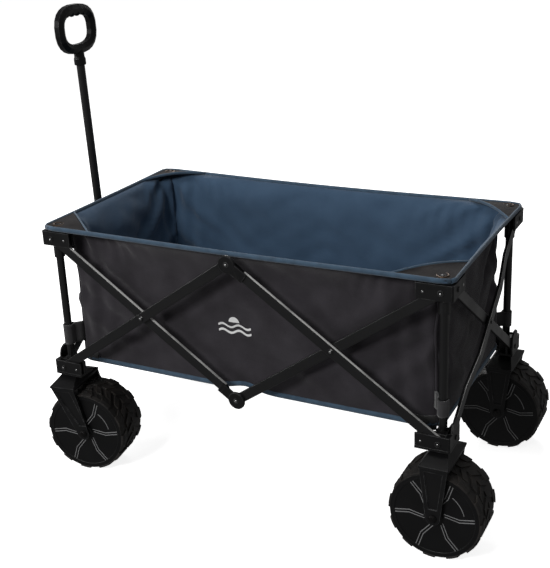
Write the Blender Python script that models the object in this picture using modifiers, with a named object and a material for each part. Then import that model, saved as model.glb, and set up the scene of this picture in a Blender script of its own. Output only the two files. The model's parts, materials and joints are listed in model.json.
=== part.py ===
"""Folding beach cart on four wide wheels.

World frame: +Z up, floor at Z = 0, the handle end faces -X, the left long side faces -Y.
Each corner is drawn in its own terms: p runs from the corner post in towards the cart's middle
along X, q runs in along Y, and z is the real height.
"""
import math

import bmesh
import bpy
from mathutils import Matrix, Vector

# ---- driving dimensions, metres ----
BAR_LENGTH = 0.527           # pivot to pivot, the same on every folding bar
HALF_SPAN = 0.433            # one scissor's width when the cart stands open
LOW_PIVOT_Z = 0.2405
POST_Y = 0.2235              # corner post axis, from the cart's middle
WHEEL_RADIUS = 0.0945
WHEEL_WIDTH = 0.096
CASTER_TRAIL = 0.042
LEFT_CASTER_YAW = math.radians(8)
RIGHT_CASTER_YAW = math.radians(35)
BASKET_HALF_LENGTH = 0.415
BASKET_HALF_WIDTH = 0.206
RIM_HALF_LENGTH = 0.454
RIM_HALF_WIDTH = 0.243
FLOOR_Z = 0.2465
HANDLE_LEAN = 0.0314         # metres forward for each metre up
GRIP_TOP_Z = 1.0035
MIDDLE = (0.0055, 0.0270, 0.0)       # the whole cart's middle, from the middle of its four posts

# ---- sizes that follow ----
RISE = math.sqrt(BAR_LENGTH ** 2 - HALF_SPAN ** 2)
TOP_PIVOT_Z = LOW_PIVOT_Z + RISE
MID_PIVOT_Z = LOW_PIVOT_Z + RISE / 2
POST_X = HALF_SPAN
END_PIVOT_Y = HALF_SPAN / 2

BAR_WIDTH = 0.021
BAR_THICK = 0.007
BAR_END_RADIUS = BAR_WIDTH / 2
BAR_GAP = 0.0007             # between bars that pass each other
INNER_PLANE = 0.0156         # centre of the inner bar, outward from the post axis
OUTER_PLANE = INNER_PLANE + BAR_THICK + BAR_GAP
PIN_RADIUS = 0.003
HOLE_RADIUS = PIN_RADIUS + 0.0004
HEAD_RADIUS = 0.0055

TUBE_RADIUS = 0.0085
TUBE_BORE = 0.0072
COLLAR_RADIUS = 0.0115
ROD_RADIUS = 0.0062
CORE_HALF = 0.0117
WALL = 0.004
CHAMFER = 0.0032

CROWN_Z = 0.2185
SHOULDER_Z = CROWN_Z - 0.0150    # where the crown meets the legs
LEG_GAP = WHEEL_WIDTH / 2 + 0.003
LEG_THICK = 0.007
AXLE_RADIUS = 0.005
STEM_RADIUS = 0.006

POST_STEPS = 12              # flats round each turned size of piece
TUBE_STEPS = 16
AXLE_STEPS = 12
RIVET_STEPS = 10
WHEEL_STEPS = 24
TREAD_STEPS = 48
TYRE_SEAT = WHEEL_RADIUS - 0.0078

HANDLE_X = -0.4795
HANDLE_Z = 0.2785
HANGER_BACK = POST_X + OUTER_PLANE + BAR_THICK / 2 + 0.0008

BLACK_PLASTIC = ("black plastic", (0.012, 0.012, 0.013), 0.0, 0.45)
BLACK_STEEL = ("black coated steel", (0.016, 0.016, 0.017), 0.6, 0.38)
RUBBER = ("black tyre", (0.010, 0.010, 0.010), 0.0, 0.70)
ZINC_STEEL = ("zinc plated steel", (0.55, 0.55, 0.56), 1.0, 0.32)
GRIP_PLASTIC = ("gloss grip plastic", (0.010, 0.010, 0.011), 0.0, 0.22)
CHARCOAL_FABRIC = ("charcoal fabric", (0.030, 0.027, 0.032), 0.0, 0.90)


# ---- scene and materials ----
def clear_scene():
    for item in list(bpy.data.objects):
        bpy.data.objects.remove(item, do_unlink=True)


def new_collection(name):
    group = bpy.data.collections.new(name)
    bpy.context.scene.collection.children.link(group)
    return group


clear_scene()
PARTS = new_collection("beach_cart")
CUTTERS = new_collection("cutters")


def principled(label, colour, metallic, roughness):
    made = bpy.data.materials.get(label)
    if made:
        return made
    made = bpy.data.materials.new(label)
    made.use_nodes = True
    shader = made.node_tree.nodes["Principled BSDF"]
    shader.inputs["Base Color"].default_value = (*colour, 1.0)
    shader.inputs["Metallic"].default_value = metallic
    shader.inputs["Roughness"].default_value = roughness
    made.diffuse_color = (*colour, 1.0)
    return made


# ---- meshes ----
def mesh_from(bm):
    mesh = bpy.data.meshes.new("shape")
    bmesh.ops.recalc_face_normals(bm, faces=bm.faces)
    bm.to_mesh(mesh)
    bm.free()
    return mesh


def box(x_range, y_range, z_range):
    low = Vector((min(x_range), min(y_range), min(z_range)))
    high = Vector((max(x_range), max(y_range), max(z_range)))
    bm = bmesh.new()
    size = Matrix.Diagonal((*(high - low), 1.0))
    bmesh.ops.create_cube(bm, size=1.0, matrix=Matrix.Translation((low + high) / 2) @ size)
    return mesh_from(bm)


def rod(start, end, radius, segments=8):
    start = Vector(start)
    end = Vector(end)
    along = end - start
    turn = along.to_track_quat("Z", "Y").to_matrix().to_4x4()
    bm = bmesh.new()
    bmesh.ops.create_cone(bm, cap_ends=True, segments=segments, radius1=radius, radius2=radius,
                          depth=along.length, matrix=Matrix.Translation((start + end) / 2) @ turn)
    return mesh_from(bm)


def evaluated_mesh(item):
    graph = bpy.context.evaluated_depsgraph_get()
    graph.update()
    mesh = bpy.data.meshes.new_from_object(item.evaluated_get(graph))
    bpy.data.objects.remove(item, do_unlink=True)
    bm = bmesh.new()
    bm.from_mesh(mesh)
    bmesh.ops.remove_doubles(bm, verts=bm.verts, dist=0.00001)
    bm.to_mesh(mesh)
    bm.free()
    return mesh


def outline(points, depth, matrix, edge=0.0):
    """A flat outline, depth thick and centred on its plane, with its edges rounded off by edge."""
    curve = bpy.data.curves.new("outline", "CURVE")
    curve.dimensions = "2D"
    curve.fill_mode = "BOTH"
    curve.extrude = depth / 2 - edge
    curve.bevel_depth = edge
    curve.bevel_resolution = 0
    curve.offset = -edge
    spline = curve.splines.new("POLY")
    spline.points.add(len(points) - 1)
    for point, (x, y) in zip(spline.points, points):
        point.co = (x, y, 0.0, 1.0)
    spline.use_cyclic_u = True
    item = bpy.data.objects.new("outline", curve)
    CUTTERS.objects.link(item)
    mesh = evaluated_mesh(item)
    mesh.transform(matrix)
    bm = bmesh.new()
    bm.from_mesh(mesh)
    return mesh_from(bm)


def turned(profile, steps, matrix, closed=True):
    """A profile of (radius, height) points turned about Z, then placed by matrix."""
    mesh = bpy.data.meshes.new("profile")
    count = len(profile)
    edges = [(i, (i + 1) % count) for i in range(count if closed else count - 1)]
    mesh.from_pydata([(radius, 0.0, height) for radius, height in profile], edges, [])
    item = bpy.data.objects.new("profile", mesh)
    CUTTERS.objects.link(item)
    screw = item.modifiers.new("Turn", "SCREW")
    screw.steps = steps
    screw.render_steps = steps
    screw.use_merge_vertices = True
    screw.merge_threshold = 0.00005
    made = evaluated_mesh(item)
    made.transform(matrix)
    bm = bmesh.new()
    bm.from_mesh(made)
    return mesh_from(bm)


def rivet(tip, end, head_depth):
    """A pin from tip to end, with its head at the tip."""
    tip = Vector(tip)
    end = Vector(end)
    length = (tip - end).length
    turn = (tip - end).to_track_quat("Z", "Y").to_matrix().to_4x4()
    profile = [(0.0, 0.0), (HEAD_RADIUS, 0.0), (HEAD_RADIUS, -head_depth), (PIN_RADIUS, -head_depth),
               (PIN_RADIUS, -length), (0.0, -length)]
    turn = turn @ Matrix.Rotation(math.radians(5), 4, "Z")
    return turned(profile, RIVET_STEPS, Matrix.Translation(tip) @ turn, closed=False)


def moved(mesh, matrix):
    copy = mesh.copy()
    copy.transform(matrix)
    if matrix.determinant() < 0:
        copy.flip_normals()
    return copy


def part(name, base, look, origin=(0, 0, 0), adds=(), cuts=(), sharp=35):
    """One node: base joined with every mesh in adds, less every mesh in cuts."""
    origin = Vector(origin)
    base.transform(Matrix.Translation(-origin))
    base.name = name
    item = bpy.data.objects.new(name, base)
    item.location = origin - Vector(MIDDLE)
    PARTS.objects.link(item)
    base.materials.clear()
    base.materials.append(principled(*look))
    base.shade_smooth()
    base.set_sharp_from_angle(angle=math.radians(sharp))
    for kind, meshes in (("UNION", adds), ("DIFFERENCE", cuts)):
        for number, mesh in enumerate(meshes):
            helper = bpy.data.objects.new(f"{name}_{kind.lower()}_{number}", mesh)
            helper.location = -Vector(MIDDLE)
            helper.hide_render = True
            helper.display_type = "WIRE"
            CUTTERS.objects.link(helper)
            boolean = item.modifiers.new(kind.title(), "BOOLEAN")
            boolean.operation = kind
            boolean.solver = "EXACT"
            boolean.object = helper
    return item


# ---- planes to draw outlines in ----
def plane_matrix(origin, x_axis, y_axis):
    x_axis = Vector(x_axis).normalized()
    y_axis = Vector(y_axis).normalized()
    matrix = Matrix.Identity(4)
    for column, vector in enumerate((x_axis, y_axis, x_axis.cross(y_axis), Vector(origin))):
        for row in range(3):
            matrix[row][column] = vector[row]
    return matrix


def capsule(half_length, radius, steps=5):
    points = []
    for side, first in ((1, -90), (-1, 90)):
        for step in range(steps + 1):
            angle = math.radians(first + 180 * step / steps)
            points.append((side * half_length + radius * math.cos(angle), radius * math.sin(angle)))
    return points


def bar(start, end, depth_axis, trim_start=0.0, trim_end=0.0):
    """A folding bar between two pivots, as a mesh, with the frame it is drawn in.

    A trim cuts that end back square from its pivot, for a plastic end piece.
    """
    start = Vector(start)
    end = Vector(end)
    along = (end - start).normalized()
    depth = Vector(depth_axis)
    frame = plane_matrix((start + end) / 2, along, depth.cross(along))
    half = BAR_LENGTH / 2
    points = capsule(half, BAR_END_RADIUS)
    if trim_start:
        points = [(max(x, -half + trim_start), y) for x, y in points]
    if trim_end:
        points = [(min(x, half - trim_end), y) for x, y in points]
    cleaned = []
    for point in points:
        if not cleaned or math.dist(point, cleaned[-1]) > 0.0005:
            cleaned.append(point)
    if trim_start or trim_end:
        limit = half - max(trim_start, trim_end)
        cleaned = [(x, math.copysign(BAR_END_RADIUS, y)) if abs(abs(x) - limit) < 1e-6 else (x, y)
                   for x, y in cleaned]
        cleaned = [point for i, point in enumerate(cleaned)
                   if math.dist(point, cleaned[i - 1]) > 0.0005]
    return outline(cleaned, BAR_THICK, frame, edge=0.0009), frame


def pin_holes(frame, places):
    holes = []
    for place in places:
        hole = rod((place, 0, -0.02), (place, 0, 0.02), HOLE_RADIUS)
        holes.append(moved(hole, frame))
    return holes


def pin(frame, place, inner, outer, head_at=None):
    """A rivet on a bar, from depth inner to depth outer, with a head that ends at head_at."""
    top = head_at if head_at else outer + 0.0018
    return [moved(rivet((place, 0, top), (place, 0, inner), 0.0021), frame)]


# ---- corners ----
class Corner:
    """Places shapes at one corner post. sx and sy are the signs of its X and Y."""

    def __init__(self, name, sx, sy):
        self.name = name
        self.sx = sx
        self.sy = sy

    def x(self, p):
        return self.sx * (POST_X - p)

    def y(self, q):
        return self.sy * (POST_Y - q)

    def plan(self, points, z_range, edge=0.0):
        """A flat outline seen from above, given in p and q, between two heights."""
        placed = [(self.x(p), self.y(q)) for p, q in points]
        low, high = z_range
        return outline(placed, high - low, Matrix.Translation((0, 0, (low + high) / 2)), edge)

    def rivet(self, start, end):
        """A pin from the outer face of a clevis to its far end, with a head on that face."""
        start = Vector((self.x(start[0]), self.y(start[1]), start[2]))
        end = Vector((self.x(end[0]), self.y(end[1]), end[2]))
        tip = start + (start - end).normalized() * 0.0022
        return rivet(tip, end, 0.0033)

    def rod(self, start, end, radius, segments=8):
        start = (self.x(start[0]), self.y(start[1]), start[2])
        end = (self.x(end[0]), self.y(end[1]), end[2])
        return rod(start, end, radius, segments)

    def turned(self, profile, steps):
        return turned(profile, steps, Matrix.Translation((self.x(0), self.y(0), 0)))


CORNERS = [Corner("front_left", -1, -1), Corner("front_right", -1, 1),
           Corner("rear_left", 1, -1), Corner("rear_right", 1, 1)]

INNER_OUT = -(INNER_PLANE + BAR_THICK / 2)       # outer face of an inner bar, as p or q
OUTER_OUT = -(OUTER_PLANE + BAR_THICK / 2)
END_PIVOT_Q = POST_Y - END_PIVOT_Y
COLUMN = 0.0125                                   # clear of a bar's round end


def post_parts(corner):
    """The telescoping corner post: a tube with a guide collar, and the rod that slides in it."""
    low = LOW_PIVOT_Z + 0.003
    collar_low = TOP_PIVOT_Z - 0.047
    top = TOP_PIVOT_Z - 0.021
    guide = ROD_RADIUS + 0.0004
    profile = [(TUBE_RADIUS, collar_low), (TUBE_RADIUS, low), (TUBE_BORE, low),
               (TUBE_BORE, collar_low + 0.004), (guide, collar_low + 0.004), (guide, top),
               (COLLAR_RADIUS - 0.0012, top), (COLLAR_RADIUS, top - 0.0012), (COLLAR_RADIUS, collar_low)]
    origin = (corner.x(0), corner.y(0), low)
    part(f"{corner.name}_post_tube", corner.turned(profile, POST_STEPS), BLACK_STEEL, origin)
    rod_top = TOP_PIVOT_Z + 0.008
    inner = corner.rod((0, 0, LOW_PIVOT_Z + 0.024), (0, 0, rod_top), ROD_RADIUS, POST_STEPS)
    part(f"{corner.name}_post_rod", inner, BLACK_STEEL, (corner.x(0), corner.y(0), rod_top))


def top_bracket(corner):
    """The moulded corner at the top of a post: a clevis for the side bar and one for the end bar."""
    z = TOP_PIVOT_Z
    low = z - 0.0155
    high = z + 0.0155
    plate = INNER_OUT - BAR_GAP
    out = plate - WALL
    arm = 0.048
    core = CORE_HALF
    inset = 0.0003
    roof = [(out + CHAMFER, out), (arm, out), (arm, 0.004), (0.0110, 0.004), (0.0110, 0.0110),
            (0.004, 0.0110), (0.004, arm), (out, arm), (out, out + CHAMFER)]
    walls = [(out + CHAMFER, out + inset), (arm - inset, out + inset), (arm - inset, plate),
             (-COLUMN, plate), (-COLUMN, -COLUMN), (plate, -COLUMN), (plate, arm - inset),
             (out + inset, arm - inset), (out + inset, out + CHAMFER)]
    middle = [(-core, -core), (arm - 0.001, -core), (arm - 0.001, 0.004 - core), (core, 0.004 - core),
              (core, core), (0.004 - core, core), (0.004 - core, arm - 0.001), (-core, arm - 0.001)]
    adds = [
        corner.plan(walls, (low, z + 0.0135)),
        corner.plan(middle, (z - 0.0140, z + 0.0130)),
        corner.rivet((0, out + inset, z), (0, -0.0085, z)),
        corner.rivet((out + inset, END_PIVOT_Q, z), (-0.0085, END_PIVOT_Q, z)),
    ]
    socket = corner.rod((0, 0, z - 0.030), (0, 0, z + 0.0085), ROD_RADIUS + 0.0003, POST_STEPS)
    part(f"{corner.name}_top_bracket", corner.plan(roof, (z + 0.0118, high)), BLACK_PLASTIC,
         (corner.x(0), corner.y(0), z), adds, [socket])


def bottom_bracket(corner):
    """The moulded corner at the foot of a post: two open-topped clevises and the fork's seat."""
    z = LOW_PIVOT_Z
    low = z - 0.0165
    plate = OUTER_OUT - BAR_GAP
    out = plate - WALL
    end_plate = INNER_OUT - BAR_GAP
    end_out = end_plate - WALL
    boss = INNER_OUT
    arm = 0.046
    end_arm = 0.030
    core = CORE_HALF
    inset = 0.0003
    floor = [(end_out + CHAMFER, out), (arm, out), (arm, 0.010), (0.0110, 0.010), (0.0110, 0.0120),
             (0.010, 0.0120), (0.010, end_arm), (end_out, end_arm), (end_out, out + CHAMFER)]
    walls = [(end_out + CHAMFER, out + inset), (arm - inset, out + inset), (arm - inset, plate),
             (-COLUMN, plate), (-COLUMN, -COLUMN), (end_plate, -COLUMN), (end_plate, end_arm - inset),
             (end_out + inset, end_arm - inset), (end_out + inset, out + CHAMFER)]
    middle = [(-core, boss), (arm - 0.001, boss), (arm - 0.001, -0.0100), (core, -0.0100), (core, core),
              (0.004 - core, core), (0.004 - core, end_arm - 0.001), (-core, end_arm - 0.001)]
    ear = [(-0.012, low + 0.002), (end_arm - 0.0006, low + 0.002)]
    ear_centre = 0.0088
    for step in range(6):
        angle = math.radians(180 * step / 5)
        ear.append((ear_centre + 0.0206 * math.cos(angle), z + 0.022 + 0.0180 * math.sin(angle)))
    ear_frame = plane_matrix((corner.x((end_plate + end_out + inset) / 2), corner.y(0), 0),
                             (0, -corner.sy, 0), (0, 0, 1))
    adds = [
        corner.plan(walls, (low + 0.0020, z + 0.0155)),
        corner.plan(middle, (z - 0.0140, z + 0.0150)),
        outline(ear, WALL - inset - 0.0002, ear_frame),
        corner.rivet((0, out + inset, z), (0, -0.0095, z)),
        corner.rivet((end_out + inset, END_PIVOT_Q, z), (-0.0085, END_PIVOT_Q, z)),
        corner.rod((0, 0, CROWN_Z + 0.0044), (0, 0, z - 0.0125), 0.0160, 16),
    ]
    cuts = [corner.rod((0, 0, z + 0.0025), (0, 0, z + 0.040), TUBE_RADIUS + 0.0003, POST_STEPS),
            corner.rod((0, 0, CROWN_Z - 0.020), (0, 0, z - 0.0035), STEM_RADIUS + 0.0005, 16)]
    part(f"{corner.name}_bottom_bracket", corner.plan(floor, (low, z - 0.0118)), BLACK_PLASTIC,
         (corner.x(0), corner.y(0), z), adds, cuts)


# ---- forks and wheels ----
def fork(corner, trail, yaw):
    """A wheel fork on a stem, drawn about the post axis with the wheel trailing along its own X."""
    place = Matrix.Translation((corner.x(0), corner.y(0), 0)) @ Matrix.Rotation(yaw, 4, "Z")
    outer = LEG_GAP + LEG_THICK
    under = SHOULDER_Z - 0.0065
    roof = [(-outer, SHOULDER_Z - 0.004), (-outer, SHOULDER_Z), (-0.020, CROWN_Z), (0.020, CROWN_Z),
            (outer, SHOULDER_Z), (outer, SHOULDER_Z - 0.004), (LEG_GAP - 0.006, under),
            (0.006 - LEG_GAP, under)]
    across = plane_matrix((0, 0, 0), (0, 1, 0), (0, 0, 1))
    crown = outline(roof, 0.060, across, edge=0.0009)
    for vert in crown.vertices:
        if vert.co.z > CROWN_Z - 0.0015:
            vert.co.x *= 0.62
    adds = []
    cuts = []
    for side in (-1, 1):
        frame = plane_matrix((0, side * (LEG_GAP + LEG_THICK / 2), 0), (1, 0, 0), (0, 0, 1))
        foot = []
        for step in range(6):
            angle = math.radians(185 + 170 * step / 5)
            foot.append((trail + 0.0145 * math.cos(angle), WHEEL_RADIUS + 0.0145 * math.sin(angle)))
        leg = [(-0.0278, SHOULDER_Z - 0.0017), *foot, (0.0278, SHOULDER_Z - 0.0017)]
        adds.append(moved(outline(leg, LEG_THICK - 0.0006, frame), place))
        panel = [(-0.0185, SHOULDER_Z - 0.010), (trail - 0.0085, WHEEL_RADIUS + 0.0195),
                 (trail + 0.0085, WHEEL_RADIUS + 0.0195), (0.0185, SHOULDER_Z - 0.010)]
        recess = plane_matrix((0, side * (LEG_GAP + LEG_THICK), 0), (1, 0, 0), (0, 0, 1))
        cuts.append(moved(outline(panel, 0.005, recess), place))
        hole = rod((trail, side * 0.03, WHEEL_RADIUS), (trail, side * 0.08, WHEEL_RADIUS),
                   AXLE_RADIUS + 0.0003, AXLE_STEPS)
        cuts.append(moved(hole, place))
    stem = rod((0, 0, CROWN_Z - 0.010), (0, 0, LOW_PIVOT_Z - 0.0045), STEM_RADIUS, AXLE_STEPS)
    collar = rod((0, 0, CROWN_Z - 0.006), (0, 0, CROWN_Z + 0.0036), 0.0135, 16)
    origin = (corner.x(0), corner.y(0), CROWN_Z)
    part(f"{corner.name}_wheel_fork", moved(crown, place), BLACK_PLASTIC, origin,
         [moved(collar, place), moved(stem, place), *adds], cuts)
    return place @ Matrix.Translation((trail, 0, WHEEL_RADIUS)) @ Matrix.Rotation(math.radians(-90), 4, "X")


def wheel_core_profile():
    """A hollow two-faced wheel: each face is flat at the middle and falls away to the rim."""
    bore = AXLE_RADIUS + 0.0006
    rim = TYRE_SEAT - 0.0005
    face = WHEEL_WIDTH / 2 - 0.0008
    outside = [(bore, face), (rim - 0.0062, face - 0.0006), (rim, face - 0.0042)]
    inside = [(rim - 0.0030, face - 0.0070), (bore, face - 0.0038)]
    lower = [(r, -z) for r, z in inside[::-1]]
    return outside + [(r, -z) for r, z in outside[::-1]] + lower + inside


def wheel_core(corner, place):
    part(f"{corner.name}_wheel_core", turned(wheel_core_profile(), WHEEL_STEPS, place), BLACK_PLASTIC,
         place.translation)


def tyre(corner, place):
    """The tread ring: narrow slanted lugs beside the middle groove, and broad blocks on each shoulder."""
    ground = WHEEL_RADIUS - 0.0030
    half = WHEEL_WIDTH / 2
    groove, lug_end, block_start, shoulder = 0.002, 0.0245, 0.0275, half - 0.0085
    skew = math.radians(14)

    def lean(z):
        share = (abs(z) - groove) / (shoulder - groove)
        return skew * min(max(share, 0.0), 1.0)

    upper = [(ground - 0.0022, half), (ground, shoulder), (ground, block_start), (ground, lug_end),
             (ground, groove)]
    inside = [(TYRE_SEAT, 0.0012 - half), (TYRE_SEAT, half - 0.0012)]
    profile = upper + [(r, -z) for r, z in upper[::-1]] + inside
    bm = bmesh.new()
    bm.from_mesh(turned(profile, TREAD_STEPS, Matrix.Identity(4)))
    for vert in bm.verts:
        vert.co.rotate(Matrix.Rotation(lean(vert.co.z), 3, "Z"))
    raised_faces = []
    for face in bm.faces:
        centre = face.calc_center_median()
        reach = abs(centre.z)
        if centre.xy.length < TYRE_SEAT + 0.0018 or reach < groove or lug_end < reach < block_start:
            continue
        slot = int(((math.atan2(centre.y, centre.x) - lean(centre.z)) / math.tau + 2) * TREAD_STEPS)
        row = slot if reach < lug_end else slot // 2
        if row % 2 == (0 if centre.z > 0 else 1):
            raised_faces.append(face)
    raised = bmesh.ops.extrude_face_region(bm, geom=raised_faces)["geom"]
    bmesh.ops.delete(bm, geom=raised_faces, context="FACES_KEEP_BOUNDARY")
    for item in raised:
        if isinstance(item, bmesh.types.BMVert):
            reach = item.co.xy.length
            item.co.xy *= (reach + 0.0030) / reach
    part(f"{corner.name}_wheel_tyre", moved(mesh_from(bm), place), RUBBER, place.translation)


def axle(corner, place):
    """The axle bolt, with a domed head at one end and a cap nut at the other."""
    seat = LEG_GAP + LEG_THICK + 0.0004
    half = [(0.0, seat + 0.0045), (0.0060, seat + 0.0036), (0.0088, seat), (AXLE_RADIUS, seat)]
    profile = half + [(r, -z) for r, z in half[::-1]]
    part(f"{corner.name}_axle_bolt", turned(profile, AXLE_STEPS, place, closed=False), ZINC_STEEL,
         place.translation)


# ---- folding bars ----
def side_bars(name, sy):
    """Two scissors in a row along one long side, with a plastic piece on each middle pivot."""
    outer = sy * (POST_Y + OUTER_PLANE)
    inner = sy * (POST_Y + INNER_PLANE)
    depth = (0, sy, 0)
    half = BAR_LENGTH / 2
    trim = 0.0370
    inward = -sy
    front_low = (-POST_X, outer, LOW_PIVOT_Z)
    middle_high = (0, outer, TOP_PIVOT_Z)
    rear_low = (POST_X, outer, LOW_PIVOT_Z)
    front_high = (-POST_X, inner, TOP_PIVOT_Z)
    middle_low = (0, inner, LOW_PIVOT_Z)
    rear_high = (POST_X, inner, TOP_PIVOT_Z)

    mesh, frame = bar(front_low, middle_high, depth)
    part(f"{name}_front_rising_bar", mesh, BLACK_STEEL, front_low,
         pin(frame, 0, -INNER_REACH, BAR_THICK / 2),
         pin_holes(frame, (-half, half)))

    mesh, frame = bar(front_high, middle_low, depth, trim_end=trim)
    part(f"{name}_front_falling_bar", mesh, BLACK_STEEL, (-POST_X / 2, inner, MID_PIVOT_Z), (),
         pin_holes(frame, (-half, 0)))
    hub_cap(f"{name}_bottom_hub_cap", frame, trim, inward, (0, inner, LOW_PIVOT_Z))

    mesh, frame = bar(rear_low, middle_high, depth, trim_end=trim)
    part(f"{name}_rear_falling_bar", mesh, BLACK_STEEL, middle_high,
         pin(frame, 0, -INNER_REACH, BAR_THICK / 2),
         pin_holes(frame, (-half,)))
    hub_cap(f"{name}_top_hub_cap", frame, trim, inward, (0, outer, TOP_PIVOT_Z))

    mesh, frame = bar(rear_high, middle_low, depth)
    part(f"{name}_rear_rising_bar", mesh, BLACK_STEEL, (POST_X / 2, inner, MID_PIVOT_Z), (),
         pin_holes(frame, (-half, 0, half)))


INNER_REACH = BAR_THICK / 2 + BAR_GAP + BAR_THICK + 0.0006


def hub_cap(name, frame, trim, inward, origin):
    """The end piece of a side bar: a disc over the pivot, and a block that closes the bar.

    The block is cut on a slant on its inward side, so the next bar can fold up beside it.
    """
    place = BAR_LENGTH / 2
    low = BAR_THICK / 2 + BAR_GAP
    high = low + 0.0045
    disc = turned([(0.0, high), (0.0172, high), (0.0192, high - 0.0020), (0.0192, low), (0.0, low)], 16,
                  Matrix.Translation((place, 0, 0)), closed=False)
    far = place - trim + 0.0006
    near = place - 0.0120
    slant = [(far, -inward * BAR_END_RADIUS), (near, -inward * BAR_END_RADIUS),
             (near, -inward * 0.0054), (far, inward * BAR_END_RADIUS)]
    foot = -BAR_THICK / 2
    block = outline(slant, high - 0.001 - foot, Matrix.Translation((0, 0, (high - 0.001 + foot) / 2)))
    cover = box((place - 0.0445, place - 0.010), (-0.0112, 0.0112), (low + 0.0002, high - 0.0014))
    shank = rivet((place, 0, high + 0.0014), (place, 0, -BAR_THICK / 2 - 0.0008), 0.0030)
    part(name, moved(disc, frame), BLACK_PLASTIC, origin,
         [moved(item, frame) for item in (block, cover, shank)])


def joggled(mesh, frame, shift):
    """Sets the middle stretch of a bar outward by shift, with a slope at each end of it."""
    inverse = frame.inverted()
    bm = bmesh.new()
    bm.from_mesh(mesh)
    bmesh.ops.transform(bm, matrix=inverse, verts=bm.verts)
    flat = 0.085
    slope = 0.160
    for station in (-slope, -flat, flat, slope):
        bmesh.ops.bisect_plane(bm, geom=bm.verts[:] + bm.edges[:] + bm.faces[:],
                               plane_co=(station, 0, 0), plane_no=(1, 0, 0), dist=0.000001)
    for vert in bm.verts:
        share = (slope - abs(vert.co.x)) / (slope - flat)
        vert.co.z += shift * min(max(share, 0.0), 1.0)
    bmesh.ops.transform(bm, matrix=frame, verts=bm.verts)
    return mesh_from(bm)


def end_bars(name, sx):
    """The single scissor at one end. Its outer bar is set out to pass over the inner one."""
    plane = sx * (POST_X + INNER_PLANE)
    depth = (sx, 0, 0)
    half = BAR_LENGTH / 2
    step = BAR_THICK + BAR_GAP
    left_low = (plane, -END_PIVOT_Y, LOW_PIVOT_Z)
    right_high = (plane, END_PIVOT_Y, TOP_PIVOT_Z)
    left_high = (plane, -END_PIVOT_Y, TOP_PIVOT_Z)
    right_low = (plane, END_PIVOT_Y, LOW_PIVOT_Z)
    middle = (plane, 0, MID_PIVOT_Z)

    mesh, frame = bar(left_low, right_high, depth)
    mesh = joggled(mesh, frame, step)
    reach = step + BAR_THICK / 2
    if sx < 0:
        crossing = pin(frame, 0, -BAR_THICK / 2 - 0.0006, reach + 0.0030, reach + 0.0062)
    else:
        crossing = pin(frame, 0, -BAR_THICK / 2 - 0.0006, reach)
    part(f"{name}_outer_bar", mesh, BLACK_STEEL, left_low, crossing,
         pin_holes(frame, (-half, half)))

    mesh, frame = bar(left_high, right_low, depth)
    part(f"{name}_inner_bar", mesh, BLACK_STEEL, middle, (),
         pin_holes(frame, (-half, 0, half)))


# ---- handle ----
def handle():
    """The pull handle: a hanger on the front scissor's middle, two sliding tubes and a ring grip."""
    back = -HANGER_BACK
    front = back - 0.0030
    hanger_top = MID_PIVOT_Z + 0.020
    low = HANDLE_Z - 0.016
    base = box((back, front), (-0.0200, 0.0200), (low, hanger_top))
    cheek = 0.0126
    adds = []
    for side in (-1, 1):
        adds.append(box((back - 0.001, HANDLE_X - 0.009), (side * cheek, side * (cheek + 0.0035)),
                        (low + 0.001, HANDLE_Z + 0.034)))
        adds.append(rod((HANDLE_X - 0.009, side * cheek, HANDLE_Z),
                        (HANDLE_X - 0.009, side * (cheek + 0.0035), HANDLE_Z), 0.0150, 16))
    cuts = [rod((back + 0.01, 0, MID_PIVOT_Z), (front - 0.01, 0, MID_PIVOT_Z), HOLE_RADIUS),
            rod((HANDLE_X, -0.03, HANDLE_Z), (HANDLE_X, 0.03, HANDLE_Z), 0.0044, 12)]
    part("handle_hanger", base, BLACK_STEEL, (back, 0, MID_PIVOT_Z), adds, cuts)

    hinge = Matrix.Translation((HANDLE_X, 0, HANDLE_Z))
    across = hinge @ Matrix.Rotation(math.radians(-90), 4, "X")
    seat = cheek + 0.0040
    bolt = [(0.0, seat + 0.0030), (0.0050, seat + 0.0028), (0.0070, seat), (0.0040, seat),
            (0.0040, -seat), (0.0070, -seat), (0.0050, -seat - 0.0028), (0.0, -seat - 0.0030)]
    part("handle_hinge_bolt", turned(bolt, AXLE_STEPS, across, closed=False), ZINC_STEEL, hinge.translation)

    lean = hinge @ Matrix.Rotation(-math.atan(HANDLE_LEAN), 4, "Y")
    outer_top = 0.252
    profile = [(0.0113, outer_top - 0.024), (0.0113, -0.0080), (0.0099, -0.0080), (0.0099, outer_top),
               (0.0120, outer_top), (0.0130, outer_top - 0.0015), (0.0130, outer_top - 0.024)]
    cross_hole = moved(rod((0, -0.03, 0), (0, 0.03, 0), 0.0043, AXLE_STEPS), hinge)
    part("handle_outer_tube", turned(profile, TUBE_STEPS, lean), BLACK_STEEL, hinge.translation, (),
         [cross_hole])

    length = (GRIP_TOP_Z - HANDLE_Z) * math.sqrt(1 + HANDLE_LEAN ** 2)
    ring_height = 0.112
    neck_low = length - ring_height - 0.024
    inner_top = length - ring_height - 0.006
    inner_low = outer_top - 0.060
    profile = [(0.0094, inner_top), (0.0094, inner_low), (0.0080, inner_low), (0.0080, inner_top)]
    part("handle_inner_tube", turned(profile, TUBE_STEPS, lean), BLACK_STEEL, hinge.translation)
    grip(lean @ Matrix.Translation((0, 0, length)), ring_height, neck_low - length, inner_top - length)


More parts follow.
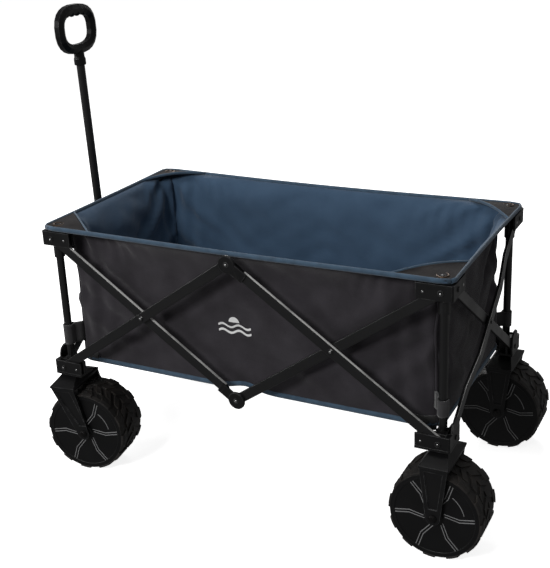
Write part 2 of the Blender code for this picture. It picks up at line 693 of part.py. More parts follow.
def grip(frame, height, neck_low, tube_top):
    """A closed ring for the hand, drawn below its top centre in the plane of Y and Z."""
    limb = 0.0122
    half_width = 0.0690 - limb
    half_height = height / 2 - limb
    curve = bpy.data.curves.new("ring", "CURVE")
    curve.dimensions = "3D"
    curve.bevel_depth = limb
    curve.bevel_resolution = 1
    spline = curve.splines.new("POLY")
    count = 24
    spline.points.add(count - 1)
    for i, point in enumerate(spline.points):
        angle = math.tau * (i + 0.5) / count
        c = math.cos(angle)
        s = math.sin(angle)
        y = half_width * math.copysign(abs(c) ** 0.75, c)
        z = half_height * math.copysign(abs(s) ** 0.75, s) - height / 2
        point.co = (0.0, y, z, 1.0)
    spline.use_cyclic_u = True
    item = bpy.data.objects.new("ring", curve)
    CUTTERS.objects.link(item)
    bm = bmesh.new()
    bm.from_mesh(evaluated_mesh(item))
    ring = mesh_from(bm)
    neck = turned([(0.0, 0.016 - height), (0.0112, 0.016 - height), (0.0116, -0.006 - height),
                   (0.0132, -0.010 - height), (0.0132, neck_low + 0.0015), (0.0122, neck_low),
                   (0.0, neck_low)], 20, Matrix.Identity(4), closed=False)
    adds = [neck]
    for place in (-0.0285, -0.0095, 0.0095, 0.0285):
        bump = bmesh.new()
        at = Matrix.Translation((0.0003, place, -0.0205)) @ Matrix.Rotation(math.radians(9), 4, "Z")
        bmesh.ops.create_uvsphere(bump, u_segments=10, v_segments=6, radius=0.0088, matrix=at)
        adds.append(mesh_from(bump))
    socket = rod((0, 0, neck_low - 0.01), (0, 0, tube_top + 0.0005), 0.0097, TUBE_STEPS)
    part("handle_grip", moved(ring, frame), GRIP_PLASTIC, frame.translation,
         [moved(mesh, frame) for mesh in adds], [moved(socket, frame)], sharp=50)


# ---- basket ----
def basket():
    """The fabric basket as five plain panels: the long walls carry the rim's corners."""
    wall = 0.005
    flange_low = TOP_PIVOT_Z + 0.0162
    flange_high = flange_low + 0.004
    gap = 0.0004
    bottom = FLOOR_Z
    for name, side in (("basket_left_wall", -1), ("basket_right_wall", 1)):
        panel = box((-BASKET_HALF_LENGTH, BASKET_HALF_LENGTH),
                    (side * (BASKET_HALF_WIDTH - wall), side * BASKET_HALF_WIDTH), (bottom, flange_high))
        rim = box((-RIM_HALF_LENGTH, RIM_HALF_LENGTH),
                  (side * (BASKET_HALF_WIDTH - 0.004), side * RIM_HALF_WIDTH),
                  (flange_low, flange_high - 0.0002))
        part(name, panel, CHARCOAL_FABRIC, (0, side * BASKET_HALF_WIDTH, bottom), [rim])
    inner_y = BASKET_HALF_WIDTH - wall - gap
    for name, side in (("basket_front_wall", -1), ("basket_rear_wall", 1)):
        panel = box((side * (BASKET_HALF_LENGTH - wall), side * BASKET_HALF_LENGTH),
                    (-inner_y, inner_y), (bottom, flange_high))
        rim = box((side * (BASKET_HALF_LENGTH - 0.004), side * RIM_HALF_LENGTH),
                  (-inner_y + 0.0002, inner_y - 0.0002), (flange_low, flange_high - 0.0002))
        part(name, panel, CHARCOAL_FABRIC, (side * BASKET_HALF_LENGTH, 0, bottom), [rim])
    floor_x = BASKET_HALF_LENGTH - wall - gap
    part("basket_floor", box((-floor_x, floor_x), (-inner_y, inner_y), (bottom, bottom + 0.006)),
         CHARCOAL_FABRIC, (0, 0, bottom))


def build():
    for corner in CORNERS:
        post_parts(corner)
        top_bracket(corner)
        bottom_bracket(corner)
        if corner.sx < 0:
            yaw = LEFT_CASTER_YAW if corner.sy < 0 else RIGHT_CASTER_YAW
            place = fork(corner, CASTER_TRAIL, yaw)
        else:
            place = fork(corner, 0.0, 0.0)
        wheel_core(corner, place)
        tyre(corner, place)
        axle(corner, place)
    side_bars("left", -1)
    side_bars("right", 1)
    end_bars("front", -1)
    end_bars("rear", 1)
    handle()
    basket()


build()
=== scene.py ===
import json
import math

import bmesh
import bpy
from mathutils import Matrix, Vector, noise


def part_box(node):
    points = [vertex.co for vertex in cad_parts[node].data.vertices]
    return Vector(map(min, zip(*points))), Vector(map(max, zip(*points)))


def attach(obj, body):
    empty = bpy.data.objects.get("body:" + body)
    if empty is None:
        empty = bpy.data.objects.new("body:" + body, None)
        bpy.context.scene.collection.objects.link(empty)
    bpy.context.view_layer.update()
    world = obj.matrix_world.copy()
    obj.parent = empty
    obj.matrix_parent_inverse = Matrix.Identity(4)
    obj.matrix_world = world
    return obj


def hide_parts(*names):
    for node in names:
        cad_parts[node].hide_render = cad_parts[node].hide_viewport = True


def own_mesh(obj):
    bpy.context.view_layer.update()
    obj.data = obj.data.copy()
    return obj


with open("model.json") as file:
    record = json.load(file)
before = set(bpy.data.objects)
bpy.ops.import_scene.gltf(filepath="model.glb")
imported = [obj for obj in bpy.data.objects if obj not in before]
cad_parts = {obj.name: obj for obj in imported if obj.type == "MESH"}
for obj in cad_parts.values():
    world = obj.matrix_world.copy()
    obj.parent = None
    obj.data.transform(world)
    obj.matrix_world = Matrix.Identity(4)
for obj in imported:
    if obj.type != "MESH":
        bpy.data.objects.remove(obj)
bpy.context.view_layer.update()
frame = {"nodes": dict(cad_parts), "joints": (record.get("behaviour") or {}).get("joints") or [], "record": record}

CORNERS = {"front_left": (-1, -1), "front_right": (-1, 1), "rear_left": (1, -1), "rear_right": (1, 1)}


# ---- measures taken from the frame ----
def middle_of(node):
    """The middle of a CAD node's box."""
    low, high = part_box(node)
    return (Vector(low) + Vector(high)) / 2


posts = {name: middle_of(f"{name}_post_rod") for name in CORNERS}
MIDDLE = sum(posts.values(), Vector()) / 4
MIDDLE.z = 0.0
POST_X = (posts["rear_left"] - posts["front_left"]).x / 2
POST_Y = (posts["front_right"] - posts["front_left"]).y / 2
TOP_PIVOT_Z = middle_of("front_left_top_bracket").z
LOW_PIVOT_Z = middle_of("left_front_rising_bar").z * 2 - TOP_PIVOT_Z
WALL_LOW, WALL_HIGH = (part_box("basket_left_wall")[i][2] for i in (0, 1))

# ---- the basket's own sizes, metres from the middle of the posts ----
BODY_X = 0.4145              # walls, from the middle
BODY_Y = 0.205
BODY_CORNER = 0.032          # radius of the upright corners
RIM_X = 0.4545
RIM_Y = 0.2440
RIM_CORNER = 0.018           # the rim's tips are rounded
RIM_X_MIDDLE = 0.452         # the rim bows in a little between the corners
RIM_Y_MIDDLE = 0.2405
RIM_Z = WALL_HIGH - 0.0005
FLARE_LOW = WALL_HIGH - 0.0695   # the walls start to lean out here
FLOOR_TOP = WALL_LOW + 0.004
FOOT_LEAN = 0.007            # the end walls stand out this much more at the foot
DRAWN_OUT = 0.006            # the long walls' ends are drawn out this much under the flare
FLOOR_GAP = 0.0012           # between the floor's edge and the middle of a wall's cloth
CLOTH = 0.0022
PATCH_X = 0.116              # reach of the corner patches in from the tips
PATCH_Y = 0.106
EYELET_IN_X = 0.026          # the eyelets, in from the rim's tips and up from the rim
EYELET_IN_Y = 0.022
EYELET_LIFT = 0.0046
ARCH_RISE = 0.011            # the long walls' foot rises here over the bottom middle hub
ARCH_REACH = 0.036
SLACK = 0.004                # how far a wall's middle stands out between its corners
THREAD_RADIUS = 0.00035
ARC_RADIUS = 0.0600          # one pale arc on each wheel face, a painted highlight on its upper side
HEM_ALLOWANCE = 0.02         # cloth turned in at a wall's two hems
STRIP_EDGE = 0.075           # seams between the floor's three strips, from the middle
# each fold near a long wall's corner: distance below the diagonal, width, depth
CORNER_FOLDS = ((-0.028, 0.012, -0.0085), (-0.054, 0.015, 0.0050),
                (0.052, 0.013, -0.0080), (0.080, 0.015, 0.0052))
FOLD_SLOPE = 0.72            # drop of those diagonals for each metre along


# ---- materials ----
def linear(hex_colour):
    """A colour as seen on screen, such as 2f2c31, in the linear units that shaders take."""
    parts = [int(hex_colour[i:i + 2], 16) / 255 for i in (0, 2, 4)]
    return tuple(p / 12.92 if p <= 0.04045 else ((p + 0.055) / 1.055) ** 2.4 for p in parts) + (1.0,)


class Shader:
    """A material's node tree, with short calls for the nodes used here."""

    def __init__(self, name, base, roughness, metallic=0.0):
        self.material = bpy.data.materials.new(name)
        self.material.use_nodes = True
        self.tree = self.material.node_tree
        self.main = self.tree.nodes["Principled BSDF"]
        self.base = linear(base)
        self.main.inputs["Base Color"].default_value = self.base
        self.main.inputs["Roughness"].default_value = roughness
        self.main.inputs["Metallic"].default_value = metallic

    def node(self, kind, **inputs):
        """A node with its inputs set or linked; an underscore stands for a space in a name."""
        made = self.tree.nodes.new(kind)
        for key, value in inputs.items():
            socket = made.inputs[key.replace("_", " ")]
            if isinstance(value, bpy.types.NodeSocket):
                self.tree.links.new(value, socket)
            else:
                socket.default_value = value
        return made

    def link(self, output, name):
        self.tree.links.new(output, self.main.inputs[name])

    def place(self, kind):
        return self.node("ShaderNodeTexCoord").outputs[kind]

    def noise(self, scale, detail=3.0, where="Object"):
        """Cloudy noise of a scale, in object space or along the cloth's UVs."""
        made = self.node("ShaderNodeTexNoise", Vector=self.place(where), Scale=scale, Detail=detail,
                         Roughness=0.55)
        return made.outputs["Fac"]

    def ranged(self, value, low, high, from_low=0.3, from_high=0.7):
        """A value between from_low and from_high, mapped on to low and high."""
        made = self.node("ShaderNodeMapRange", Value=value)
        made.inputs["From Min"].default_value = from_low
        made.inputs["From Max"].default_value = from_high
        made.inputs["To Min"].default_value = low
        made.inputs["To Max"].default_value = high
        return made.outputs["Result"]

    def math(self, operation, first, second):
        made = self.tree.nodes.new("ShaderNodeMath")
        made.operation = operation
        for socket, value in zip(made.inputs, (first, second)):
            if isinstance(value, bpy.types.NodeSocket):
                self.tree.links.new(value, socket)
            else:
                socket.default_value = value
        return made.outputs["Value"]

    def tint(self, value, dark, light):
        """Base colour between two shades, by a value from 0 to 1."""
        ramp = self.tree.nodes.new("ShaderNodeValToRGB")
        ramp.color_ramp.elements[0].color = linear(dark)
        ramp.color_ramp.elements[1].color = linear(light)
        self.tree.links.new(value, ramp.inputs["Fac"])
        self.link(ramp.outputs["Color"], "Base Color")

    def bump(self, height, strength, distance=0.001, rounded=0.0):
        made = self.node("ShaderNodeBump", Strength=strength, Distance=distance, Height=height)
        if rounded:
            edge = self.tree.nodes.new("ShaderNodeBevel")
            edge.samples = 6
            edge.inputs["Radius"].default_value = rounded
            self.tree.links.new(edge.outputs["Normal"], made.inputs["Normal"])
        self.link(made.outputs["Normal"], "Normal")


def edge_wear_and_highlight(shader, radius, low, high):
    """A value that is 1 where an edge turns within radius, broken up by scuffs, and 0 on flat faces. On plastics
    it paints edge highlight as well as wear; on the tyre it marks wear.
    """
    soft = shader.tree.nodes.new("ShaderNodeBevel")
    soft.samples = 8
    soft.inputs["Radius"].default_value = radius
    flat = shader.tree.nodes.new("ShaderNodeNewGeometry")
    both = shader.tree.nodes.new("ShaderNodeVectorMath")
    both.operation = "DOT_PRODUCT"
    shader.tree.links.new(soft.outputs["Normal"], both.inputs[0])
    shader.tree.links.new(flat.outputs["True Normal"], both.inputs[1])
    edge = shader.ranged(both.outputs["Value"], 1.0, 0.0, low, high)
    scuffs = shader.ranged(shader.noise(60, 5.0), 0.15, 1.0, 0.42, 0.62)
    return shader.math("MULTIPLY", edge, scuffs)


def moulded_plastic(name, base, roughness, grain=0.12, rounded=0.0008, edge_highlight_and_wear="5a5a5b"):
    """Black moulded plastic: fine spark texture, uneven gloss, and soft edges tinted paler, partly wear and partly
    a painted highlight.
    """
    shader = Shader(name, base, roughness)
    if edge_highlight_and_wear:
        # Paler edges: partly wear, partly a painted highlight on the rounded edges.
        shader.tint(edge_wear_and_highlight(shader, 0.0024, 0.80, 0.975), base, edge_highlight_and_wear)
    fine = shader.noise(1400, 2.0)
    broad = shader.noise(22, 4.0)
    shader.link(shader.ranged(broad, roughness - 0.05, roughness + 0.09), "Roughness")
    shader.bump(fine, grain, 0.0004, rounded)
    shader.main.inputs["Specular IOR Level"].default_value = 0.30
    return shader.material


def coated_steel(name, base, roughness):
    """Powder coat over steel: faint orange peel, and a painted highlight: upper edges facing +X tinted pale in
    patches.
    """
    shader = Shader(name, base, roughness)
    peel = shader.noise(420, 1.5)
    broad = shader.noise(14, 4.0)
    shader.link(shader.ranged(broad, roughness - 0.05, roughness + 0.06), "Roughness")
    shader.bump(peel, 0.08, 0.0003, 0.0016)
    # Painted highlight: edges whose bevelled normal turns up and towards +X are tinted near white, in patches.
    soft = shader.tree.nodes.new("ShaderNodeBevel")
    soft.samples = 8
    soft.inputs["Radius"].default_value = 0.0018
    split = shader.node("ShaderNodeSeparateXYZ", Vector=soft.outputs["Normal"])
    turning = shader.ranged(split.outputs["Z"], 0.0, 1.0, 0.58, 0.72)
    level = shader.ranged(split.outputs["Z"], 1.0, 0.25, 0.86, 0.93)
    ahead = shader.ranged(split.outputs["X"], 0.0, 1.0, 0.05, 0.30)
    patchy = shader.ranged(shader.noise(11, 3.0), 0.45, 1.0, 0.36, 0.52)
    edge_highlight_and_wear = shader.math("MULTIPLY", shader.math("MULTIPLY", turning, level),
                       shader.math("MULTIPLY", ahead, patchy))
    shader.tint(edge_highlight_and_wear, base, "f0f0ee")
    shader.main.inputs["Specular IOR Level"].default_value = 0.45
    return shader.material


def plated_steel(name, base, roughness):
    """Bare or plated metal with an uneven gloss."""
    shader = Shader(name, base, roughness, 1.0)
    shader.link(shader.ranged(shader.noise(90, 4.0), roughness - 0.06, roughness + 0.12), "Roughness")
    shader.bump(shader.noise(700, 2.0), 0.06, 0.0002, 0.0005)
    return shader.material


def tread(name):
    """Tyre plastic: dull and cloudy, with paler edges on the lugs from wear."""
    shader = Shader(name, "0e0d0d", 0.62)
    dust = shader.ranged(shader.noise(38, 5.0), 0.0, 0.45)
    shader.tint(shader.math("ADD", dust, edge_wear_and_highlight(shader, 0.0018, 0.80, 0.98)), "0a0909", "352f2b")
    shader.bump(shader.noise(900, 3.0), 0.20, 0.0005, 0.0008)
    return shader.material


def woven(name, dark, light, pitch=0.0011, sheen=0.35, cloud=0.62):
    """Plain weave polyester: threads over and under, slubs, and a soft sheen at grazing angles."""
    shader = Shader(name, dark, 0.88)
    split = shader.node("ShaderNodeSeparateXYZ", Vector=shader.place("UV"))
    across = shader.math("SINE", shader.math("MULTIPLY", split.outputs["X"], math.tau / pitch), 0.0)
    along = shader.math("SINE", shader.math("MULTIPLY", split.outputs["Y"], math.tau / pitch), 0.0)
    weave = shader.math("MULTIPLY", across, along)
    slub = shader.noise(260, 3.0, "UV")
    height = shader.math("ADD", shader.math("MULTIPLY", weave, 0.5), shader.math("MULTIPLY", slub, 1.6))
    shader.bump(height, 0.32, 0.0005)
    cloudy = shader.math("ADD", shader.math("MULTIPLY", shader.noise(16, 5.0, "UV"), cloud),
                         shader.math("MULTIPLY", shader.noise(700, 2.0, "UV"), 1 - cloud))
    shader.tint(shader.ranged(cloudy, 0.0, 1.0, 0.36, 0.64), dark, light)
    shader.main.inputs["Sheen Weight"].default_value = sheen
    shader.main.inputs["Sheen Roughness"].default_value = 0.45
    shader.main.inputs["Specular IOR Level"].default_value = 0.25
    return shader.material


def ribbed_tape(name, dark, light):
    """Grosgrain binding: narrow ribs across the tape."""
    shader = Shader(name, dark, 0.8)
    split = shader.node("ShaderNodeSeparateXYZ", Vector=shader.place("UV"))
    ribs = shader.math("SINE", shader.math("MULTIPLY", split.outputs["X"], math.tau / 0.0016), 0.0)
    shader.bump(ribs, 0.25, 0.0004)
    shader.tint(shader.ranged(shader.noise(60, 4.0), 0.0, 1.0), dark, light)
    shader.main.inputs["Sheen Weight"].default_value = 0.3
    return shader.material


OUTSIDE = woven("charcoal_cloth", "272428", "39363b", sheen=0.20, cloud=0.50)
LINING = woven("navy_lining", "364c63", "415870", pitch=0.0010, sheen=0.25, cloud=0.42)
PATCH = woven("patch_cloth", "151314", "201b1c", pitch=0.0016, sheen=0.06)
BINDING = ribbed_tape("blue_binding", "2d4356", "3c566c")
WEBBING = ribbed_tape("black_webbing", "0b0b0c", "151415")
STRAP = ribbed_tape("grey_webbing", "232224", "302f31")
THREAD = Shader("grey_thread", "565457", 0.7).material
WHITE_MARK = woven("white_mark", "d8d8d8", "f2f2f2", sheen=0.1)
BRONZE = plated_steel("dull_bronze", "4a3c31", 0.42)
BRIGHT_METAL = plated_steel("bright_metal", "a8a8a8", 0.25)
# pale grey on the wheel faces' black ridges and arc: a painted highlight
RIDGE_HIGHLIGHT = moulded_plastic("ridge_painted_highlight", "858586", 0.35, rounded=0.0, edge_highlight_and_wear=None)
SLOT_MATERIALS = {
    "black_plastic": moulded_plastic("bracket_plastic", "0e0e0f", 0.40),
    "wheel_plastic": moulded_plastic("wheel_plastic", "070708", 0.42, 0.10, 0.0012, edge_highlight_and_wear="1c1c1d"),
    "black_steel": coated_steel("black_powder_coat", "121213", 0.36),
    "tyre_rubber": tread("tyre_tread"),
    "zinc_steel": plated_steel("black_zinc", "2e2d2d", 0.34),
    "grip_plastic": moulded_plastic("grip_gloss", "0b0b0c", 0.28, 0.05, 0.0015),
}


def dress_cad():
    """Each CAD node takes the look of its material slot."""
    slots = {entry["node"]: entry["material_slot"] for entry in frame["record"]["subparts"]}
    for name, item in frame["nodes"].items():
        look = SLOT_MATERIALS.get(slots.get(name))
        if look:
            item.data.materials.clear()
            item.data.materials.append(look)


# ---- making pieces ----
def place_piece(name, mesh, materials, body, smooth=True):
    """A piece whose mesh is drawn from the middle of the posts, riding on a body."""
    for look in materials:
        mesh.materials.append(look)
    if smooth:
        mesh.shade_smooth()
    item = bpy.data.objects.new(name, mesh)
    bpy.context.scene.collection.objects.link(item)
    mesh.transform(Matrix.Translation(MIDDLE))
    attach(item, body)
    return item


def grid_mesh(rows, uv_rows):
    """A sheet from rows of points, each row as long as the others, with UVs in metres."""
    bm = bmesh.new()
    uv = bm.loops.layers.uv.new("UVMap")
    verts = [[bm.verts.new(point) for point in row] for row in rows]
    for i in range(len(rows) - 1):
        for j in range(len(rows[0]) - 1):
            corners = ((i, j), (i, j + 1), (i + 1, j + 1), (i + 1, j))
            face = bm.faces.new([verts[a][b] for a, b in corners])
            for loop, (a, b) in zip(face.loops, corners):
                loop[uv].uv = uv_rows[a][b]
    mesh = bpy.data.meshes.new("sheet")
    bm.to_mesh(mesh)
    bm.free()
    return mesh


def measured_uv(rows):
    """UVs for rows of points: lengths along the rows and up the columns, in metres."""
    table = []
    for i, row in enumerate(rows):
        line = []
        across = 0.0
        for j, point in enumerate(row):
            if j:
                across += (Vector(point) - Vector(row[j - 1])).length
            up = 0.0 if i == 0 else table[i - 1][j][1] + (Vector(point) - Vector(rows[i - 1][j])).length
            line.append((across, up))
        table.append(line)
    return table


def thicken(item, thickness=CLOTH, offset=0.0, inside=0, rim=0):
    """Give a sheet its thickness. inside and rim pick the material of its back and its edges."""
    solid = item.modifiers.new("Thickness", "SOLIDIFY")
    solid.thickness = thickness
    solid.offset = offset
    solid.use_even_offset = True
    solid.material_offset = inside
    solid.material_offset_rim = rim
    return item


def tube_mesh(points, radius, flat=1.0):
    """A cord of piping or webbing along points. flat squashes it in the direction it faces."""
    sides = 8
    count = len(points)
    path = [Vector(point) for point in points]
    rows = []
    side = None
    for i, point in enumerate(path):
        before = path[max(i - 1, 0)]
        after = path[min(i + 1, count - 1)]
        ahead = (after - before).normalized()
        if side is None:
            side = ahead.cross(Vector((0, 0, 1))) if abs(ahead.z) < 0.9 else ahead.cross(Vector((0, 1, 0)))
        side = (side - ahead * side.dot(ahead)).normalized()
        up = side.cross(ahead)
        ring = []
        for k in range(sides + 1):
            angle = math.tau * k / sides
            ring.append(point + side * math.cos(angle) * radius * flat + up * math.sin(angle) * radius)
        rows.append(ring)
    mesh = grid_mesh(rows, [[(u, v) for v, u in pair] for pair in measured_uv(rows)])
    bm = bmesh.new()
    bm.from_mesh(mesh)
    bmesh.ops.remove_doubles(bm, verts=bm.verts, dist=0.00001)
    bmesh.ops.holes_fill(bm, edges=[edge for edge in bm.edges if edge.is_boundary])
    bmesh.ops.recalc_face_normals(bm, faces=bm.faces)
    bm.to_mesh(mesh)
    bm.free()
    return mesh


def turned_mesh(profile, steps, matrix):
    """A closed profile of (radius, height) turned about Z."""
    rows = []
    for k in range(steps + 1):
        angle = math.tau * k / steps
        rows.append([matrix @ Vector((r * math.cos(angle), r * math.sin(angle), z)) for r, z in profile])
    mesh = grid_mesh(rows, measured_uv(rows))
    bm = bmesh.new()
    bm.from_mesh(mesh)
    bmesh.ops.remove_doubles(bm, verts=bm.verts, dist=0.00001)
    bmesh.ops.recalc_face_normals(bm, faces=bm.faces)
    bm.to_mesh(mesh)
    bm.free()
    return mesh


def smoothstep(value, low=0.0, high=1.0):
    """0 below low, 1 above high, and a smooth rise between."""
    t = min(max((value - low) / (high - low), 0.0), 1.0)
    return t * t * (3 - 2 * t)


# ---- the basket's form ----
class Side:
    """One wall of the basket. s runs from -1 to 1 between the middles of its two corners."""

    def __init__(self, name, along, out, half, body_out, rim_half, rim_out, rim_middle, body):
        self.name = name
        self.along = Vector(along)
        self.out = Vector(out)
        self.half = half
        self.long = name in ("left", "right")
        self.body_out = body_out
        self.rim_half = rim_half
        self.rim_out = rim_out
        self.rim_middle = rim_middle
        self.body = body

    def section(self, s):
        """Distance along and out on the upright part of the wall."""
        straight = self.half - BODY_CORNER
        reach = abs(s) * (straight + BODY_CORNER * math.pi / 4)
        if reach <= straight:
            return math.copysign(reach, s), self.body_out
        turn = (reach - straight) / BODY_CORNER
        along = straight + BODY_CORNER * math.sin(turn)
        return math.copysign(along, s), self.body_out - BODY_CORNER * (1 - math.cos(turn))

    def rim(self, s):
        """Distance along and out at the rim, bowed in a little at its middle."""
        straight = self.rim_half - RIM_CORNER
        reach = abs(s) * (straight + RIM_CORNER * math.pi / 4)
        if reach <= straight:
            bow = self.rim_middle + (self.rim_out - self.rim_middle) * (reach / straight) ** 2.5
            return math.copysign(reach, s), bow
        turn = (reach - straight) / RIM_CORNER
        along = straight + RIM_CORNER * math.sin(turn)
        return math.copysign(along, s), self.rim_out - RIM_CORNER * (1 - math.cos(turn))

    def point(self, s, t, wrinkled=True, lift=0.0):
        """A point on the cloth. t runs from 0 at the foot to 1 at the start of the flare, 2 at the rim."""
        along, out = self.section(s)
        lean = FOOT_LEAN * max(1 - t, 0)
        if self.long:
            along += math.copysign(lean * abs(s) ** 8, s)
        else:
            out += lean
        corner = smoothstep(abs(s), 0.52, 0.86)
        if t <= 1:
            arch = ARCH_RISE * math.exp(-(along / ARCH_REACH) ** 2) if self.long else 0.0
            z = WALL_LOW + (FLARE_LOW - WALL_LOW) * t + arch * (1 - t) ** 3
            slack = math.sin(math.pi * min(t, 1.0) * 0.5)
            out += SLACK * slack * (1 - abs(s) ** 4)
            if self.long:
                drawn = smoothstep(t, 0.70, 1.0) ** 2 * smoothstep(abs(s), 0.90, 1.0)
                along += math.copysign(DRAWN_OUT * drawn, s)
        else:
            q = t - 1
            z = FLARE_LOW + (RIM_Z - FLARE_LOW) * (1 - (1 - q) ** (1.5 + 1.5 * corner))
            share = q ** (1.7 + 0.5 * corner)
            rim_along, rim_out = self.rim(s)
            if self.long:
                along += math.copysign(DRAWN_OUT * smoothstep(abs(s), 0.90, 1.0), s)
            out += SLACK * (1 - abs(s) ** 4)
            along += (rim_along - along) * share
            out += (rim_out - out) * share
            if self.long:
                z -= 0.0035 * q * (1 - s * s) ** 2
        if wrinkled:
            out += self.wrinkle(s, t)
        place = self.along * along + self.out * out
        return Vector((place.x, place.y, z + lift))

    def wrinkle(self, s, t):
        """Soft pulls between the pivots, folds near the corners, all dying at the foot, rim and seams."""
        x = s * self.half
        seed = {"left": 1.7, "right": 8.3, "front": 14.9, "rear": 21.1}[self.name]
        height = (FLARE_LOW - WALL_LOW) * min(t, 1.0) + 0.07 * max(t - 1, 0)
        ease = 1 - smoothstep(t, 1.35, 1.9)
        foot = smoothstep(t, 0.0, 0.28)
        seam = 1 - smoothstep(abs(s), 0.955, 1.0)
        broad = noise.noise(Vector((x * 5.0, height * 4.5, seed))) * 0.0085
        pull = height - abs(abs(x) - self.half * 0.5) * 0.55
        drawn = noise.noise(Vector((x * 7 + height * 6, pull * 26, seed + 5))) * 0.0064
        upright = noise.noise(Vector((x * 17 + height * 5, height * 2.4, seed + 3))) * 0.0040
        crossing = noise.noise(Vector((x * 10 - height * 24, height * 9 + x * 5, seed + 7))) * 0.0034
        fine = noise.noise(Vector((x * 44 + height * 30, height * 24, seed + 11))) * 0.0011
        near = smoothstep(abs(s), 0.66, 0.93)
        wander = noise.noise(Vector((height * 9, s, seed + 13))) * 1.7
        fold = math.sin(abs(x) * 135 + height * 12 + wander) * 0.0030 * near
        high = smoothstep(t, 0.9, 1.3) * smoothstep(abs(s), 0.45, 0.7)
        gather = math.sin(abs(x) * 210 + wander * 2) * 0.0018 * high
        inset = self.half - abs(x)
        drop = FLARE_LOW - WALL_LOW - height
        away = (drop - inset * FOLD_SLOPE) / 1.23
        crease = 0.0
        for place, width, depth in CORNER_FOLDS:
            crease += depth * math.exp(-((away - place + wander * 0.004) / width) ** 2)
        crease *= 1 - smoothstep(inset, 0.09, 0.25)
        return (broad + drawn + upright + crossing + fine + fold + gather + crease) * ease * foot * seam


SIDES = [
    Side("left", (1, 0, 0), (0, -1, 0), BODY_X, BODY_Y, RIM_X, RIM_Y, RIM_Y_MIDDLE, "front_left_top"),
    Side("right", (-1, 0, 0), (0, 1, 0), BODY_X, BODY_Y, RIM_X, RIM_Y, RIM_Y_MIDDLE, "front_right_top"),
    Side("front", (0, -1, 0), (-1, 0, 0), BODY_Y, BODY_X, RIM_Y, RIM_X, RIM_X_MIDDLE, "front_left_top"),
    Side("rear", (0, 1, 0), (1, 0, 0), BODY_Y, BODY_X, RIM_Y, RIM_X, RIM_X_MIDDLE, "rear_left_top"),
]


def spread(count, dense=0.0):
    """Places from -1 to 1, closer near both ends, or near the middle where dense is negative."""
    places = []
    for i in range(count + 1):
        x = 2 * i / count - 1
        places.append(x + dense * math.sin(math.pi * x) / math.pi)
    return places


def squash_with_fold(item, side):
    """Gives a piece of cloth its own copy of its mesh, the same for long and end walls."""
    if side.long:
        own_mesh(item)
    else:
        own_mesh(item)


def heights():
    """Rows up a wall: 0 at the foot, 1 where the flare starts, 2 at the rim."""
    lower = [i / 20 for i in range(21)]
    upper = [1 + (i / 12) for i in range(1, 13)]
    return lower + upper


def wall(side):
    """One wall's cloth, charcoal outside and navy inside."""
    columns = spread(96 if side.long else 56, 0.35)
    rows = [[side.point(s, t) for s in columns] for t in heights()]
    item = place_piece(f"basket_{side.name}_cloth", grid_mesh(rows, measured_uv(rows)),
                       [OUTSIDE, LINING], side.body)
    thicken(item, inside=1, rim=1)
    squash_with_fold(item, side)
    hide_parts(f"basket_{side.name}_wall")
    return item


def rim_binding(side):
    """The folded tape over the rim's edge."""
    points = [side.point(s, 2.0, lift=0.0022) for s in spread(60, -0.6)]
    item = place_piece(f"rim_binding_{side.name}", tube_mesh(points, 0.0054, 0.5), [BINDING], side.body)
    squash_with_fold(item, side)
    return item


def foot_piping(side):
    """The piping along a wall's foot."""
    points = [side.point(s, 0.0, lift=0.0030) + side.out * 0.001 for s in spread(64)]
    item = place_piece(f"foot_piping_{side.name}", tube_mesh(points, 0.0060, 0.45), [BINDING], side.body)
    squash_with_fold(item, side)
    return item


def corner_seam(corner):
    """The upright seam where two walls meet: a narrow taped edge outside, a lining fold inside."""
    sx, sy = CORNERS[corner]
    side = side_named("left" if sy < 0 else "right")
    end = sx if sy < 0 else -sx
    inward = Vector((-sx, -sy, 0)).normalized()
    points = [side.point(end, t, wrinkled=False) for t in heights()[:-2]]
    outer = place_piece(f"corner_seam_{corner}", tube_mesh([p - inward * 0.0008 for p in points], 0.0026),
                        [OUTSIDE], f"{corner}_top")
    inner = place_piece(f"corner_lining_{corner}", tube_mesh([p + inward * 0.0016 for p in points], 0.0024),
                        [LINING], f"{corner}_top")


def foot_corner(side, end):
    """Black webbing sewn over the foot of a long wall where it meets its corner."""
    rear = (end > 0) == (side.along.x > 0)
    hang = 0.0090 if rear else 0.0020
    places = [end * (1 - 0.10 * i / 12) for i in range(13)]
    if end < 0:
        places = places[::-1]
    rows = [[side.point(s, t) + side.out * 0.0022 + Vector((0, 0, drop)) for s in places]
            for t, drop in ((0.0, -hang), (0.02, 0.0), (0.05, 0.0), (0.085, 0.0))]
    item = place_piece(f"foot_webbing_{side.name}_{'rear' if rear else 'front'}",
                       grid_mesh(rows, measured_uv(rows)), [WEBBING], side.body)
    thicken(item, 0.0018)
    squash_with_fold(item, side)


def add_stitch(bm, middle, turn, size):
    """One bar of thread, size being its three half lengths."""
    shape = Matrix.Diagonal((*size, 1.0))
    bmesh.ops.create_icosphere(bm, subdivisions=1, radius=1.0,
                               matrix=Matrix.Translation(middle) @ turn @ shape)


def stitch_line(side):
    """A row of thread just below the rim binding."""
    bm = bmesh.new()
    count = int(side.rim_half * 2 / 0.0055)
    for i in range(count):
        s = -0.985 + 1.97 * i / count
        start = side.point(s, 1.86)
        end = side.point(s + 1.97 / count * 0.6, 1.86)
        ahead = end - start
        middle = (start + end) / 2 + side.out * 0.0013 + Vector((0, 0, -0.0003))
        turn = ahead.to_track_quat("X", "Z").to_matrix().to_4x4()
        add_stitch(bm, middle, turn, (ahead.length / 2, THREAD_RADIUS, THREAD_RADIUS))
    mesh = bpy.data.meshes.new("stitches")
    bm.to_mesh(mesh)
    bm.free()
    item = place_piece(f"rim_stitches_{side.name}", mesh, [THREAD], side.body)
    squash_with_fold(item, side)
    return item


